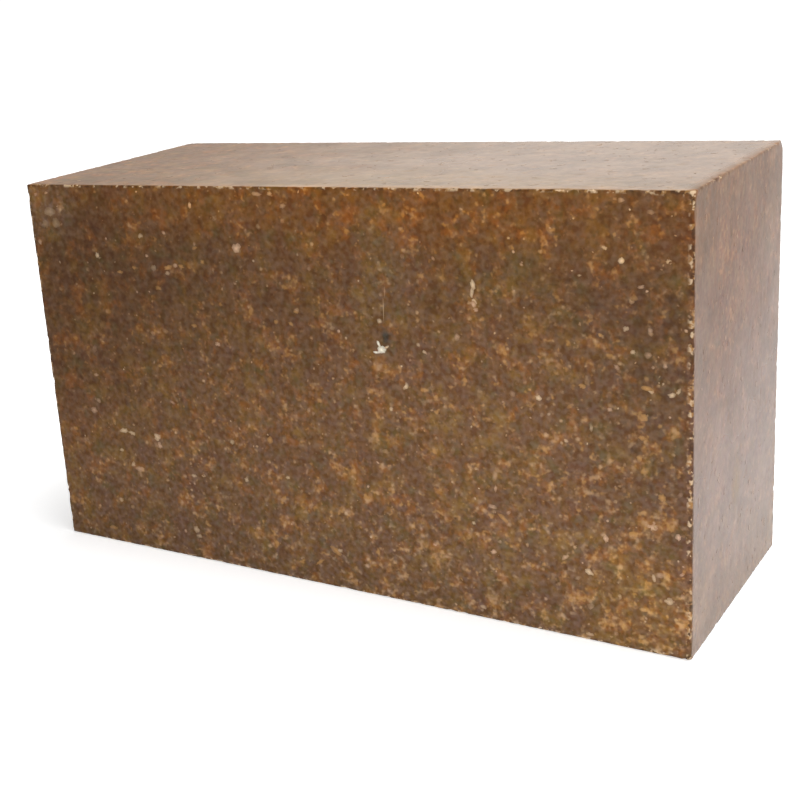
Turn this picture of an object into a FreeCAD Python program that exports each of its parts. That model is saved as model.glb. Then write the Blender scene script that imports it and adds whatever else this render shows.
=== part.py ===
# A key-shaped refractory firebrick: one dense block, pressed in a die and fired in one piece.
# Its two large faces are parallel trapezoids. The upper and lower sides converge towards the small
# end, so that a row of such bricks closes a ring. It stands on its lower side, as it is stored.
# Millimetres. X runs from the small end to the large end, Y through the thickness and Z up.
# The origin is at the middle of the block's outer box, on the plane that it stands on.
import FreeCAD
import Part

import math
import os

# The die: the length runs along the centre line that halves the taper, square to both ends.
LENGTH = 250.0
SMALL_END = 135.0
LARGE_END = 153.0
THICKNESS = 100.0

# The arrises: the rim of each pressed face is crisp, and the die's own four corners are softer.
FACE_RIM_RADIUS = 0.8
DIE_CORNER_RADIUS = 1.1

# The corners of the large end that have been knocked off in handling. Each holds how far the flat
# break reaches from the sharp corner: along the length, through the thickness and along the end.
BACK_TOP_KNOCK = (0.9, 6.0, 3.4)
FRONT_TOP_KNOCK = (2.6, 2.4, 2.6)
FRONT_BOTTOM_KNOCK = (1.4, 1.6, 2.0)

HALF_TAPER = math.atan2((LARGE_END - SMALL_END) / 2, LENGTH)


def level(along, across):
    """Turns a point of the symmetric die plan so that the lower side lies level in the XZ plane."""
    cos_taper = math.cos(HALF_TAPER)
    sin_taper = math.sin(HALF_TAPER)
    return FreeCAD.Vector(
        along * cos_taper - across * sin_taper,
        -THICKNESS / 2,
        along * sin_taper + across * cos_taper,
    )


def die_corners():
    """The four corners of the front face, anticlockwise from the lower one at the small end."""
    return [
        level(0, -SMALL_END / 2),
        level(LENGTH, -LARGE_END / 2),
        level(LENGTH, LARGE_END / 2),
        level(0, SMALL_END / 2),
    ]


def pressed_block(corners):
    """The sharp block: the trapezoid of the die, pressed to the thickness."""
    outline = Part.makePolygon([*corners, corners[0]])
    return Part.Face(outline).extrude(FreeCAD.Vector(0, THICKNESS, 0))


def points_through_thickness(direction):
    """Whether a unit vector points straight through the thickness, either way."""
    return round(abs(direction.y)) == 1


def ease_arrises(block):
    """Rounds the die's corners first, and then the rim of each pressed face all round."""
    die_edges = [
        edge for edge in block.Edges if points_through_thickness(edge.tangentAt(edge.FirstParameter))
    ]
    eased = block.makeFillet(DIE_CORNER_RADIUS, die_edges)
    pressed_faces = [face for face in eased.Faces if points_through_thickness(face.normalAt(0, 0))]
    rims = [edge for face in pressed_faces for edge in face.Edges]
    return eased.makeFillet(FACE_RIM_RADIUS, rims)


def knock_off(block, corner, inwards, sizes):
    """Breaks a corner off along one flat.

    The flat passes through a point on each of the three edges that meet at the sharp corner.
    The unit vectors in inwards lead along those edges, and sizes says how far away each point is.
    """
    reaches = [corner + direction * size for direction, size in zip(inwards, sizes)]
    outwards = (reaches[1] - reaches[0]).cross(reaches[2] - reaches[0]).normalize()
    if (corner - reaches[0]).dot(outwards) < 0:
        outwards = outwards * -1
    side = 2 * max(sizes)
    waste = Part.makeBox(2 * side, 2 * side, side, FreeCAD.Vector(-side, -side, 0))
    middle = (reaches[0] + reaches[1] + reaches[2]) * (1 / 3)
    facing = FreeCAD.Rotation(FreeCAD.Vector(0, 0, 1), outwards)
    waste.Placement = FreeCAD.Placement(middle, facing)
    return block.cut(waste)


def knock_corners(block, corners):
    """Takes the three knocked corners off the large end."""
    small_bottom, large_bottom, large_top, small_top = corners
    to_back = FreeCAD.Vector(0, 1, 0)
    to_front = to_back * -1
    along_bottom = (small_bottom - large_bottom).normalize()
    along_top = (small_top - large_top).normalize()
    down_end = (large_bottom - large_top).normalize()
    up_end = down_end * -1
    back_top = large_top + to_back * THICKNESS
    block = knock_off(block, back_top, [along_top, to_front, down_end], BACK_TOP_KNOCK)
    block = knock_off(block, large_top, [along_top, to_back, down_end], FRONT_TOP_KNOCK)
    return knock_off(block, large_bottom, [along_bottom, to_back, up_end], FRONT_BOTTOM_KNOCK)


def outer_box(block):
    """The tight box round the exact surfaces."""
    return block.optimalBoundingBox(False, False)


def stand(block):
    """Moves the block so that its outer box stands centred on the origin."""
    box = outer_box(block)
    block.translate(FreeCAD.Vector(-box.Center.x, -box.Center.y, -box.ZMin))
    return block


def firebrick():
    """The whole block as one solid."""
    corners = die_corners()
    block = ease_arrises(pressed_block(corners))
    return stand(knock_corners(block, corners))


os.makedirs("parts", exist_ok=True)
brick = firebrick()
brick.exportStep("parts/firebrick.step")
print("solids:", len(brick.Solids), "volume:", round(brick.Volume), "valid:", brick.isValid())
print("outer box:", outer_box(brick))
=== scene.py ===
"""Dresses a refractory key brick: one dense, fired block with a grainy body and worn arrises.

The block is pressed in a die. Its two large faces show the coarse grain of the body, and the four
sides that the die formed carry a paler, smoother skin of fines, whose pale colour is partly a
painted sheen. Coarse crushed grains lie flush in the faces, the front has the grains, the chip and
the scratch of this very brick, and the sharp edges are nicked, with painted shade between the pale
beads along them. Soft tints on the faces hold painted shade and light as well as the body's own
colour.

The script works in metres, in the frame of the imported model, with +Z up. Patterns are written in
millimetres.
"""
import logging
import math
import random
from dataclasses import dataclass
from enum import Enum
from typing import Any, Optional, Sequence

import bmesh
import bpy
from mathutils import Euler, Matrix, Vector
from mathutils.bvhtree import BVHTree


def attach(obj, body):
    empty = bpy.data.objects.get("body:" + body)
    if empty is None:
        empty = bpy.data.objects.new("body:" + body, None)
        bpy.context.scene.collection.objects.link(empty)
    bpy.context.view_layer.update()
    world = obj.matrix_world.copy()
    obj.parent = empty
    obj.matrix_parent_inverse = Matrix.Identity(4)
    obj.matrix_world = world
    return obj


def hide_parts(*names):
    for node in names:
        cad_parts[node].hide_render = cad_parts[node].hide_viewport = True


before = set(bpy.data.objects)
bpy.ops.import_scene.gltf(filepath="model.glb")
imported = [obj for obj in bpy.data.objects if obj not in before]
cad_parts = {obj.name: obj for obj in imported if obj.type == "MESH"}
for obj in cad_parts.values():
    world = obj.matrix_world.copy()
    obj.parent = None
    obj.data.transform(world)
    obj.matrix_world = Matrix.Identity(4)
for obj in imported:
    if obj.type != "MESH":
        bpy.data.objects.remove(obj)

LOG = logging.getLogger("firebrick")
MM = 0.001
PER_MM = 1000.0
NODE = "firebrick"
BODY = "root"
ARRIS_GAP = "arris_gap"
LOSS = "loss"
GRAIN_TONE = "grain_tone"
GRAIN_COVER = "grain_cover"
GRAIN_RADIUS = "grain_radius"
GRAIN_ANCHOR = "grain_anchor"
GRAIN_UP = "grain_up"
BRICK_PIECE = "brick_body"
GRAINS_PIECE = "coarse_grains"
MARKS_PIECE = "front_marks"

# The gap to an arris, in millimetres, that keeps the wear of the arrises off a grain.
FAR_FROM_ARRIS = 50.0
# How far the seed 1 moves a pattern, in millimetres.
SEED_STEP = Vector((417.3, -283.9, 351.7))
# The span of one nick and that of the stretches where nicks are common, in millimetres.
NICK_SPAN = 2.4
NICKED_STRETCH = 17.0


class Signal:
    """A socket in a node tree that can be used in a formula."""

    def __init__(self, tree: "Tree", socket: bpy.types.NodeSocket) -> None:
        """Wraps one output socket of a tree."""
        self.tree = tree
        self.socket = socket

    @property
    def is_vector(self) -> bool:
        """Whether the socket carries a vector."""
        return self.socket.type in ("VECTOR", "RGBA")

    def _join(self, operation: str, other: Any, swap: bool = False) -> "Signal":
        """Joins this signal to another one, or to a plain value, by one operation.

        Args:
            operation: The operation of the Math or Vector Math node.
            other: The other operand.
            swap: Whether the other operand comes first.

        Returns:
            The result, a vector if either operand is one.
        """
        pair = (other, self) if swap else (self, other)
        vector_in = self.is_vector or isinstance(other, (Vector, tuple))
        vector_in = vector_in or (isinstance(other, Signal) and other.is_vector)
        return self.tree.vector(operation, *pair) if vector_in else self.tree.math(operation, *pair)

    def __add__(self, other: Any) -> "Signal":
        """Adds."""
        return self._join("ADD", other)

    def __radd__(self, other: Any) -> "Signal":
        """Adds, from the right."""
        return self._join("ADD", other, swap=True)

    def __sub__(self, other: Any) -> "Signal":
        """Subtracts."""
        return self._join("SUBTRACT", other)

    def __rsub__(self, other: Any) -> "Signal":
        """Subtracts this signal from a value."""
        return self._join("SUBTRACT", other, swap=True)

    def __mul__(self, other: Any) -> "Signal":
        """Multiplies."""
        return self._join("MULTIPLY", other)

    def __truediv__(self, other: Any) -> "Signal":
        """Divides."""
        return self._join("DIVIDE", other)

    def least(self, other: Any) -> "Signal":
        """The smaller of the two."""
        return self._join("MINIMUM", other)

    def most(self, other: Any) -> "Signal":
        """The larger of the two."""
        return self._join("MAXIMUM", other)

    def size(self) -> "Signal":
        """The size of a number, or each component's size in a vector."""
        return self.tree.vector("ABSOLUTE", self) if self.is_vector else self.tree.math("ABSOLUTE", self)

    def parts(self) -> tuple["Signal", "Signal", "Signal"]:
        """The three components of a vector."""
        node = self.tree.node("ShaderNodeSeparateXYZ", {0: self})
        return tuple(Signal(self.tree, out) for out in node.outputs[:3])


class Tree:
    """Builds a node tree for a shape or a finish."""

    def __init__(self, nodes: bpy.types.NodeTree) -> None:
        """Wraps an empty or a cleared node tree."""
        self.nodes = nodes

    def node(self, kind: str, inputs: Optional[dict[Any, Any]] = None, **settings: Any) -> bpy.types.Node:
        """Adds one node.

        Args:
            kind: The node's type.
            inputs: What goes into its sockets, by name or number: a signal or a plain value.
            settings: The node's own properties.

        Returns:
            The new node.
        """
        made = self.nodes.nodes.new(kind)
        for name, value in settings.items():
            setattr(made, name, value)
        for key, value in (inputs or {}).items():
            self.plug(made.inputs[key], value)
        return made

    def plug(self, socket: bpy.types.NodeSocket, value: Any) -> None:
        """Fills an input.

        Args:
            socket: The input.
            value: A signal, which is linked to it, or a plain value.
        """
        if isinstance(value, Signal):
            self.nodes.links.new(value.socket, socket)
        else:
            socket.default_value = value

    def out(self, node: bpy.types.Node, name: Any = 0) -> Signal:
        """One output of a node, as a signal."""
        return Signal(self, node.outputs[name])

    def math(self, operation: str, *values: Any) -> Signal:
        """A Math node on numbers."""
        return self.out(self.node("ShaderNodeMath", dict(enumerate(values)), operation=operation))

    def vector(self, operation: str, *values: Any) -> Signal:
        """A Vector Math node.

        Args:
            operation: The node's operation.
            values: The operands; a plain number counts for all three components.

        Returns:
            The vector, or the number that a length, a distance or a dot product gives.
        """
        spread = [(value, value, value) if isinstance(value, (int, float)) else value for value in values]
        node = self.node("ShaderNodeVectorMath", dict(enumerate(spread)), operation=operation)
        return self.out(node, "Value" if operation in ("DOT_PRODUCT", "LENGTH", "DISTANCE") else "Vector")

    def combine(self, x: Any, y: Any, z: Any) -> Signal:
        """A vector made of three numbers."""
        return self.out(self.node("ShaderNodeCombineXYZ", {0: x, 1: y, 2: z}))

    def ramp(self, value: Any, low: Any, high: Any, start: Any = 0.0, end: Any = 1.0) -> Signal:
        """Goes smoothly from one number to another.

        Args:
            value: What is followed.
            low: Where the change begins.
            high: Where it is complete.
            start: The result at low and below it.
            end: The result at high and above it.

        Returns:
            The result, which never leaves the range from start to end.
        """
        inputs = {"Value": value, "From Min": low, "From Max": high, "To Min": start, "To Max": end}
        return self.out(self.node("ShaderNodeMapRange", inputs, interpolation_type="SMOOTHSTEP"))

    def noise(self, place: Signal, span: float, detail: float = 2.0, rough: float = 0.5,
              seed: float = 0.0) -> bpy.types.Node:
        """Cloudy noise.

        Args:
            place: The point, in millimetres.
            span: The size of its main blobs, in millimetres.
            detail: How many finer layers it has.
            rough: How strong they are.
            seed: Which of the possible patterns is taken.

        Returns:
            The noise node, with the outputs Fac (or Factor) and Color.
        """
        inputs = {"Vector": place + SEED_STEP * seed, "Scale": 1.0 / span, "Detail": detail,
                  "Roughness": rough}
        return self.node("ShaderNodeTexNoise", inputs, noise_dimensions="3D")

    def cloud(self, place: Signal, span: float, detail: float = 2.0, rough: float = 0.5,
              seed: float = 0.0) -> Signal:
        """The noise as one number, about 0.5 on the average."""
        return self.out(self.noise(place, span, detail, rough, seed), 0)

    def cells(self, place: Signal, span: float, seed: float = 0.0) -> bpy.types.Node:
        """Voronoi cells of a size in millimetres, with the outputs Distance, Color and Position."""
        inputs = {"Vector": place + SEED_STEP * seed, "Scale": 1.0 / span}
        return self.node("ShaderNodeTexVoronoi", inputs, voronoi_dimensions="3D")

    def blend(self, share: Any, first: Any, second: Any, mode: str = "MIX") -> Signal:
        """Mixes two colours.

        Args:
            share: How much of the second colour there is, from 0 to 1.
            first: The colour at 0.
            second: The colour at 1.
            mode: The blend mode of the Mix node.

        Returns:
            The mixed colour.
        """
        node = self.nodes.nodes.new("ShaderNodeMix")
        node.data_type = "RGBA"
        node.blend_type = mode
        node.clamp_result = False
        colours = [socket for socket in node.inputs if socket.type == "RGBA"]
        shares = [socket for socket in node.inputs if socket.type == "VALUE"]
        for socket, value in ((shares[0], share), (colours[0], first), (colours[1], second)):
            self.plug(socket, value)
        result = next(socket for socket in node.outputs if socket.type == "RGBA")
        return Signal(self, result)


class ShapeTree(Tree):
    """A tree whose steps work on meshes."""

    def spot(self) -> Signal:
        """The place of each vertex."""
        return self.out(self.node("GeometryNodeInputPosition"))

    def store(self, shape: Signal, name: str, value: Any, kind: str = "FLOAT") -> Signal:
        """Keeps a value on every point of a shape.

        Args:
            shape: The mesh or the points.
            name: The name that the value is read by later.
            value: A signal or a plain value.
            kind: The data type of the value.

        Returns:
            The shape that carries the value.
        """
        inputs = {"Geometry": shape, "Name": name, "Value": value}
        node = self.node("GeometryNodeStoreNamedAttribute", None, data_type=kind, domain="POINT")
        for key, given in inputs.items():
            socket = next(s for s in node.inputs if s.name == key and s.enabled)
            self.plug(socket, given)
        return self.out(node)

    def read(self, name: str, kind: str = "FLOAT") -> Signal:
        """Reads a value that the points carry."""
        node = self.node("GeometryNodeInputNamedAttribute", {"Name": name}, data_type=kind)
        return Signal(self, next(s for s in node.outputs if s.name == "Attribute" and s.enabled))

    def moved(self, shape: Signal, place: Signal) -> Signal:
        """Puts every point at a new place."""
        return self.out(self.node("GeometryNodeSetPosition", {"Geometry": shape, "Position": place}))

    def chance(self, low: float, high: float, seed: int) -> Signal:
        """Draws a number for each point.

        Args:
            low: The least number.
            high: The greatest number.
            seed: Which of the possible draws is taken.

        Returns:
            The number.
        """
        node = self.node("FunctionNodeRandomValue", {"Seed": seed}, data_type="FLOAT")
        for name, bound in (("Min", low), ("Max", high)):
            next(s for s in node.inputs if s.name == name and s.type == "VALUE").default_value = bound
        return Signal(self, next(s for s in node.outputs if s.type == "VALUE"))


class ShapeGroup:
    """A geometry tree with named sizes as its inputs, which is run once for a plain mesh."""

    def __init__(self, name: str, sizes: dict[str, float]) -> None:
        """Makes the tree's inputs.

        Args:
            name: The tree's name.
            sizes: The value of each named input.
        """
        self.sizes = sizes
        self.group = bpy.data.node_groups.new(name, "GeometryNodeTree")
        face = self.group.interface
        for way in ("INPUT", "OUTPUT"):
            face.new_socket("Geometry", in_out=way, socket_type="NodeSocketGeometry")
        for size in sizes:
            face.new_socket(size, in_out="INPUT", socket_type="NodeSocketFloat")
        self.tree = ShapeTree(self.group)
        entry = self.tree.node("NodeGroupInput")
        self.start = self.tree.out(entry, "Geometry")
        self.given = {size: self.tree.out(entry, size) for size in sizes}

    def run(self, name: str, shape: Signal, start: Optional[bpy.types.Mesh] = None) -> bpy.types.Object:
        """Runs the tree and keeps its plain mesh.

        Args:
            name: The name of the new object.
            shape: What the tree gives.
            start: The mesh that goes into the tree, if it needs one.

        Returns:
            An object at the origin that carries the finished mesh.
        """
        self.group.links.new(shape.socket, self.tree.node("NodeGroupOutput").inputs[0])
        seed = bpy.data.objects.new(name + "_seed", start or bpy.data.meshes.new(name + "_seed"))
        bpy.context.scene.collection.objects.link(seed)
        modifier = seed.modifiers.new("shape", "NODES")
        modifier.node_group = self.group
        for item in self.group.interface.items_tree:
            if item.item_type == "SOCKET" and item.in_out == "INPUT" and item.name in self.sizes:
                modifier[item.identifier] = self.sizes[item.name]
        ready = seed.evaluated_get(bpy.context.evaluated_depsgraph_get())
        mesh = bpy.data.meshes.new_from_object(ready)
        mesh.name = name
        seed.modifiers.clear()
        bpy.data.objects.remove(seed)
        made = bpy.data.objects.new(name, mesh)
        bpy.context.scene.collection.objects.link(made)
        return made


def nick_bite(tree: Tree, place: Signal) -> Signal:
    """Says where an arris has lost a crumb; the shape and the finish both follow it.

    Args:
        tree: The tree that needs the answer.
        place: The point, in millimetres.

    Returns:
        How much is gone, from 0 where the arris is sound to 1.
    """
    bite = tree.ramp(tree.cloud(place, NICK_SPAN, 2.0, 0.6, seed=11.0), 0.54, 0.70)
    rare = tree.ramp(tree.cloud(place, NICKED_STRETCH, 1.0, seed=12.0), 0.38, 0.62, 0.25, 1.0)
    return bite * rare


@dataclass(frozen=True)
class Pigment:
    """A colour of the fired body, in the 0 to 255 of a colour chart."""

    red: int
    green: int
    blue: int

    def linear(self) -> tuple[float, float, float, float]:
        """Turns the colour into light.

        Returns:
            Red, green and blue from 0 to 1, and an alpha of 1.
        """
        def decode(value: int) -> float:
            """One part as light, by the standard curve of a screen."""
            share = value / 255.0
            return share / 12.92 if share <= 0.04045 else ((share + 0.055) / 1.055) ** 2.4
        return decode(self.red), decode(self.green), decode(self.blue), 1.0


class Corner(Enum):
    """The corners of the large end, as (up, back) with 1 for the upper and the back one."""

    FRONT_BOTTOM = (0, 0)
    FRONT_TOP = (1, 0)
    BACK_TOP = (1, 1)


@dataclass(frozen=True)
class KeyShape:
    """The sharp key form in its resting place: a symmetric taper, levelled on its lower side."""

    length: float = 250 * MM
    small_end: float = 135 * MM
    large_end: float = 153 * MM
    thickness: float = 100 * MM

    @property
    def half_taper(self) -> float:
        """The angle between the middle line and each tapered side."""
        return math.atan2((self.large_end - self.small_end) / 2, self.length)

    @property
    def mean_height(self) -> float:
        """The height in the middle of the length."""
        return (self.small_end + self.large_end) / 2

    def turned(self, along: float, across: float) -> Vector:
        """A point of the symmetric plan, turned so that the lower side is level."""
        cos_taper, sin_taper = math.cos(self.half_taper), math.sin(self.half_taper)
        return Vector((along * cos_taper - across * sin_taper, 0, along * sin_taper + across * cos_taper))

    @property
    def shift(self) -> Vector:
        """What brings the turned plan to the middle of its box, on the floor.

        Returns:
            The shift, in metres.
        """
        corners = [self.turned(along, side * end / 2) for side in (-1, 1)
                   for along, end in ((0, self.small_end), (self.length, self.large_end))]
        low, high = min(c.x for c in corners), max(c.x for c in corners)
        return Vector((-(low + high) / 2, 0, -min(c.z for c in corners)))

    def point(self, along: float, across: float, through: float) -> Vector:
        """A point of the standing block.

        Args:
            along: The distance from the small end along the middle line.
            across: The height above the middle line, square to it.
            through: The place through the thickness, from the middle towards the back.

        Returns:
            The point in the row's frame.
        """
        return self.turned(along, across) + self.shift + Vector((0, through, 0))

    def corner(self, which: Corner) -> tuple[Vector, tuple[Vector, Vector, Vector]]:
        """Finds a sharp corner of the large end.

        Args:
            which: The corner.

        Returns:
            Its place, and the unit vectors along the three edges that leave it: towards the small
            end, through the thickness and along the large end.
        """
        up, back = which.value
        side, depth = 2 * up - 1, 2 * back - 1
        here = self.point(self.length, side * self.large_end / 2, depth * self.thickness / 2)
        small = self.point(0, side * self.small_end / 2, depth * self.thickness / 2)
        other = self.point(self.length, -side * self.large_end / 2, depth * self.thickness / 2)
        return here, ((small - here).normalized(), Vector((0, -depth, 0)), (other - here).normalized())


@dataclass(frozen=True)
class Knock:
    """A corner broken off along a flat, by its reach along each of the three edges.

    A pale of 1 leaves the break as cream as a fresh one, and 0 leaves it as brown as the body.
    """

    corner: Corner
    along: float
    through: float
    upright: float
    pale: float

    def flat(self, shape: KeyShape) -> tuple[Vector, Vector]:
        """Finds the plane of the break.

        Args:
            shape: The sharp key form.

        Returns:
            A point of the plane, in metres, and its outward normal.
        """
        here, edges = shape.corner(self.corner)
        sizes = (self.along, self.through, self.upright)
        reaches = [here + edge * size for edge, size in zip(edges, sizes)]
        normal = (reaches[1] - reaches[0]).cross(reaches[2] - reaches[0]).normalized()
        if (here - reaches[0]).dot(normal) < 0:
            normal = -normal
        return reaches[0], normal


@dataclass
class BrickBody:
    """The fired block itself, as one closed skin with its worn arrises and shallow relief.

    The sizes of the relief are in millimetres: a span is that of its blobs, a reach counts from the
    arris, and a depth is how far it goes in. The grid's lines gather within fine_zone of an arris,
    down to fine_share of their even spacing.
    """

    shape: KeyShape
    cells: tuple[int, int, int] = (188, 78, 114)
    fine_zone: tuple[float, float, float] = (3.2 * MM, 3.2 * MM, 3.2 * MM)
    fine_share: float = 0.25
    arris_radius: float = 0.55 * MM
    knocks: Sequence[Knock] = (
        Knock(Corner.BACK_TOP, 0.9 * MM, 6.0 * MM, 3.4 * MM, 0.0),
        Knock(Corner.FRONT_TOP, 2.6 * MM, 2.4 * MM, 2.6 * MM, 1.0),
        Knock(Corner.FRONT_BOTTOM, 1.4 * MM, 1.6 * MM, 2.0 * MM, 1.0),
    )
    base_depth: float = 0.06
    wave_span: float = 55.0
    wave_depth: float = 0.12
    pock_span: float = 4.0
    pock_depth: float = 0.16
    nick_depth: float = 0.8
    nick_reach: float = 1.7
    ragged_span: float = 3.4
    ragged_depth: float = 0.1
    ragged_reach: float = 1.2
    break_span: float = 1.3
    break_depth: float = 0.5

    def build(self, material: bpy.types.Material) -> bpy.types.Object:
        """Builds the block's mesh.

        Args:
            material: What the block is made of.

        Returns:
            The object, with a plain mesh at its place in the row's frame.
        """
        group = ShapeGroup("pressed_block", {
            "Length": self.shape.length * PER_MM,
            "Small End": self.shape.small_end * PER_MM,
            "Large End": self.shape.large_end * PER_MM,
            "Thickness": self.shape.thickness * PER_MM,
            "Half Taper": self.shape.half_taper,
            "Arris Radius": self.arris_radius * PER_MM,
            "Base Depth": self.base_depth,
            "Wave Depth": self.wave_depth,
            "Nick Depth": self.nick_depth,
            "Nick Reach": self.nick_reach,
            "Ragged Depth": self.ragged_depth,
        })
        return group.run(BRICK_PIECE, self._shaped(group.tree, group.given, material))

    def _shaped(self, tree: ShapeTree, given: dict[str, Signal], material: bpy.types.Material) -> Signal:
        """Turns a plain grid into the finished block.

        The grid is stretched to the block, its arrises are rounded, its height follows the taper
        and it is levelled on its lower side. Wear and the broken corners come last. All this is in
        millimetres, and the last steps scale the block back to metres.

        Args:
            tree: The geometry tree.
            given: The sizes, by name.
            material: What the block is made of.

        Returns:
            The finished mesh.
        """
        counts = {f"Vertices {axis}": count + 1 for axis, count in zip("XYZ", self.cells)}
        grid = tree.node("GeometryNodeMeshCube", {"Size": (2.0, 2.0, 2.0), **counts})
        spot = tree.spot()
        height = (given["Small End"] + given["Large End"]) * 0.5
        half = tree.combine(given["Length"] * 0.5, given["Thickness"] * 0.5, height * 0.5)
        straight = self._gathered(tree, spot) * half
        radius = given["Arris Radius"]
        inner = half - tree.combine(radius, radius, radius)
        core = straight.least(inner).most(inner * -1.0)
        rounded = core + tree.vector("NORMALIZE", straight - core) * tree.combine(radius, radius, radius)
        gap = self._arris_gap(half - straight.size())
        x, y, z = rounded.parts()
        along = x + given["Length"] * 0.5
        local = given["Small End"] + (given["Large End"] - given["Small End"]) * along / given["Length"]
        across = z * local / height
        cosine = tree.math("COSINE", given["Half Taper"])
        sine = tree.math("SINE", given["Half Taper"])
        shift = self.shape.shift * PER_MM
        standing = tree.combine(along * cosine - across * sine + shift.x, y,
                                along * sine + across * cosine + shift.z)
        marked = tree.store(tree.out(grid, "Mesh"), ARRIS_GAP, gap)
        placed = tree.moved(marked, standing)
        worn = self._worn(tree, placed, given)
        smooth = tree.out(tree.node("GeometryNodeSetShadeSmooth", {"Geometry": worn}))
        scaled = tree.node("GeometryNodeTransform", {"Geometry": smooth, "Scale": (MM, MM, MM)})
        real = tree.out(tree.node("GeometryNodeRealizeInstances", {"Geometry": tree.out(scaled)}))
        return tree.out(tree.node("GeometryNodeSetMaterial", {"Geometry": real, "Material": material}))

    def _gathered(self, tree: Tree, spot: Signal) -> Signal:
        """Moves the grid's lines towards the arrises, where the shape has its detail.

        Args:
            tree: The geometry tree.
            spot: A vertex of the even grid, from -1 to 1 on each axis.

        Returns:
            The vertex of the gathered grid, from -1 to 1 as well.
        """
        halves = (self.shape.length / 2, self.shape.thickness / 2, self.shape.mean_height / 2)
        moved = []
        for part, half, zone in zip(spot.parts(), halves, self.fine_zone):
            power = half / zone
            pull = (1.0 - self.fine_share) / (power - 1.0)
            far = tree.math("POWER", part.size(), power)
            moved.append(part * (1.0 + pull) - tree.math("SIGN", part) * far * pull)
        return tree.combine(*moved)

    @staticmethod
    def _arris_gap(gaps: Signal) -> Signal:
        """The distance to the nearest arris: the middle one of the three gaps to the faces."""
        x, y, z = gaps.parts()
        return x.least(y).most(x.most(y).least(z))

    def _worn(self, tree: ShapeTree, mesh: Signal, given: dict[str, Signal]) -> Signal:
        """Sinks the shallow relief and the nicks into the block, and takes the corners off.

        Args:
            tree: The geometry tree.
            mesh: The sound block, in millimetres.
            given: The sizes, by name.

        Returns:
            The worn block.
        """
        place = tree.spot()
        normal = tree.out(tree.node("GeometryNodeInputNormal"))
        gap = tree.read(ARRIS_GAP)
        swell = tree.cloud(place, self.wave_span, 1.0, seed=3.0)
        waves = given["Base Depth"] + swell * given["Wave Depth"]
        pocks = tree.ramp(tree.cloud(place, self.pock_span, 1.0, seed=5.0), 0.60, 0.78) * self.pock_depth
        near = tree.ramp(gap, 0.0, given["Nick Reach"], 1.0, 0.0)
        nicks = nick_bite(tree, place) * near * given["Nick Depth"]
        ragged = tree.ramp(tree.cloud(place, self.ragged_span, 2.0, 0.6, seed=13.0), 0.42, 0.66)
        edge = tree.ramp(gap, 0.0, self.ragged_reach, 1.0, 0.0) * ragged * given["Ragged Depth"]
        depth = waves + pocks + nicks + edge
        marked = tree.store(mesh, LOSS, 0.0)
        worn = tree.moved(marked, place - normal * tree.combine(depth, depth, depth))
        for knock in self.knocks:
            worn = self._knocked(tree, worn, knock)
        return worn

    def _knocked(self, tree: ShapeTree, mesh: Signal, knock: Knock) -> Signal:
        """Presses what lies outside a flat back onto it, and leaves the break rough.

        Args:
            tree: The geometry tree.
            mesh: The block, in millimetres.
            knock: The break.

        Returns:
            The block without that corner.
        """
        point, normal = knock.flat(self.shape)
        place = tree.spot()
        rough = tree.cloud(place, self.break_span, 2.0, seed=17.0) * self.break_depth
        over = (tree.vector("DOT_PRODUCT", place - point * PER_MM, normal) + rough).most(0.0)
        marked = tree.store(mesh, LOSS, tree.read(LOSS).most(over * knock.pale))
        return tree.moved(marked, place - tree.combine(over, over, over) * normal)

    def dress(self, block: bpy.types.Object) -> None:
        """Puts the block into the frame in place of the plain solid.

        Args:
            block: The finished block.
        """
        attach(block, BODY)
        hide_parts(NODE)
        LOG.info("%s: %d triangles", block.name, sum(len(p.vertices) - 2 for p in block.data.polygons))


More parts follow.
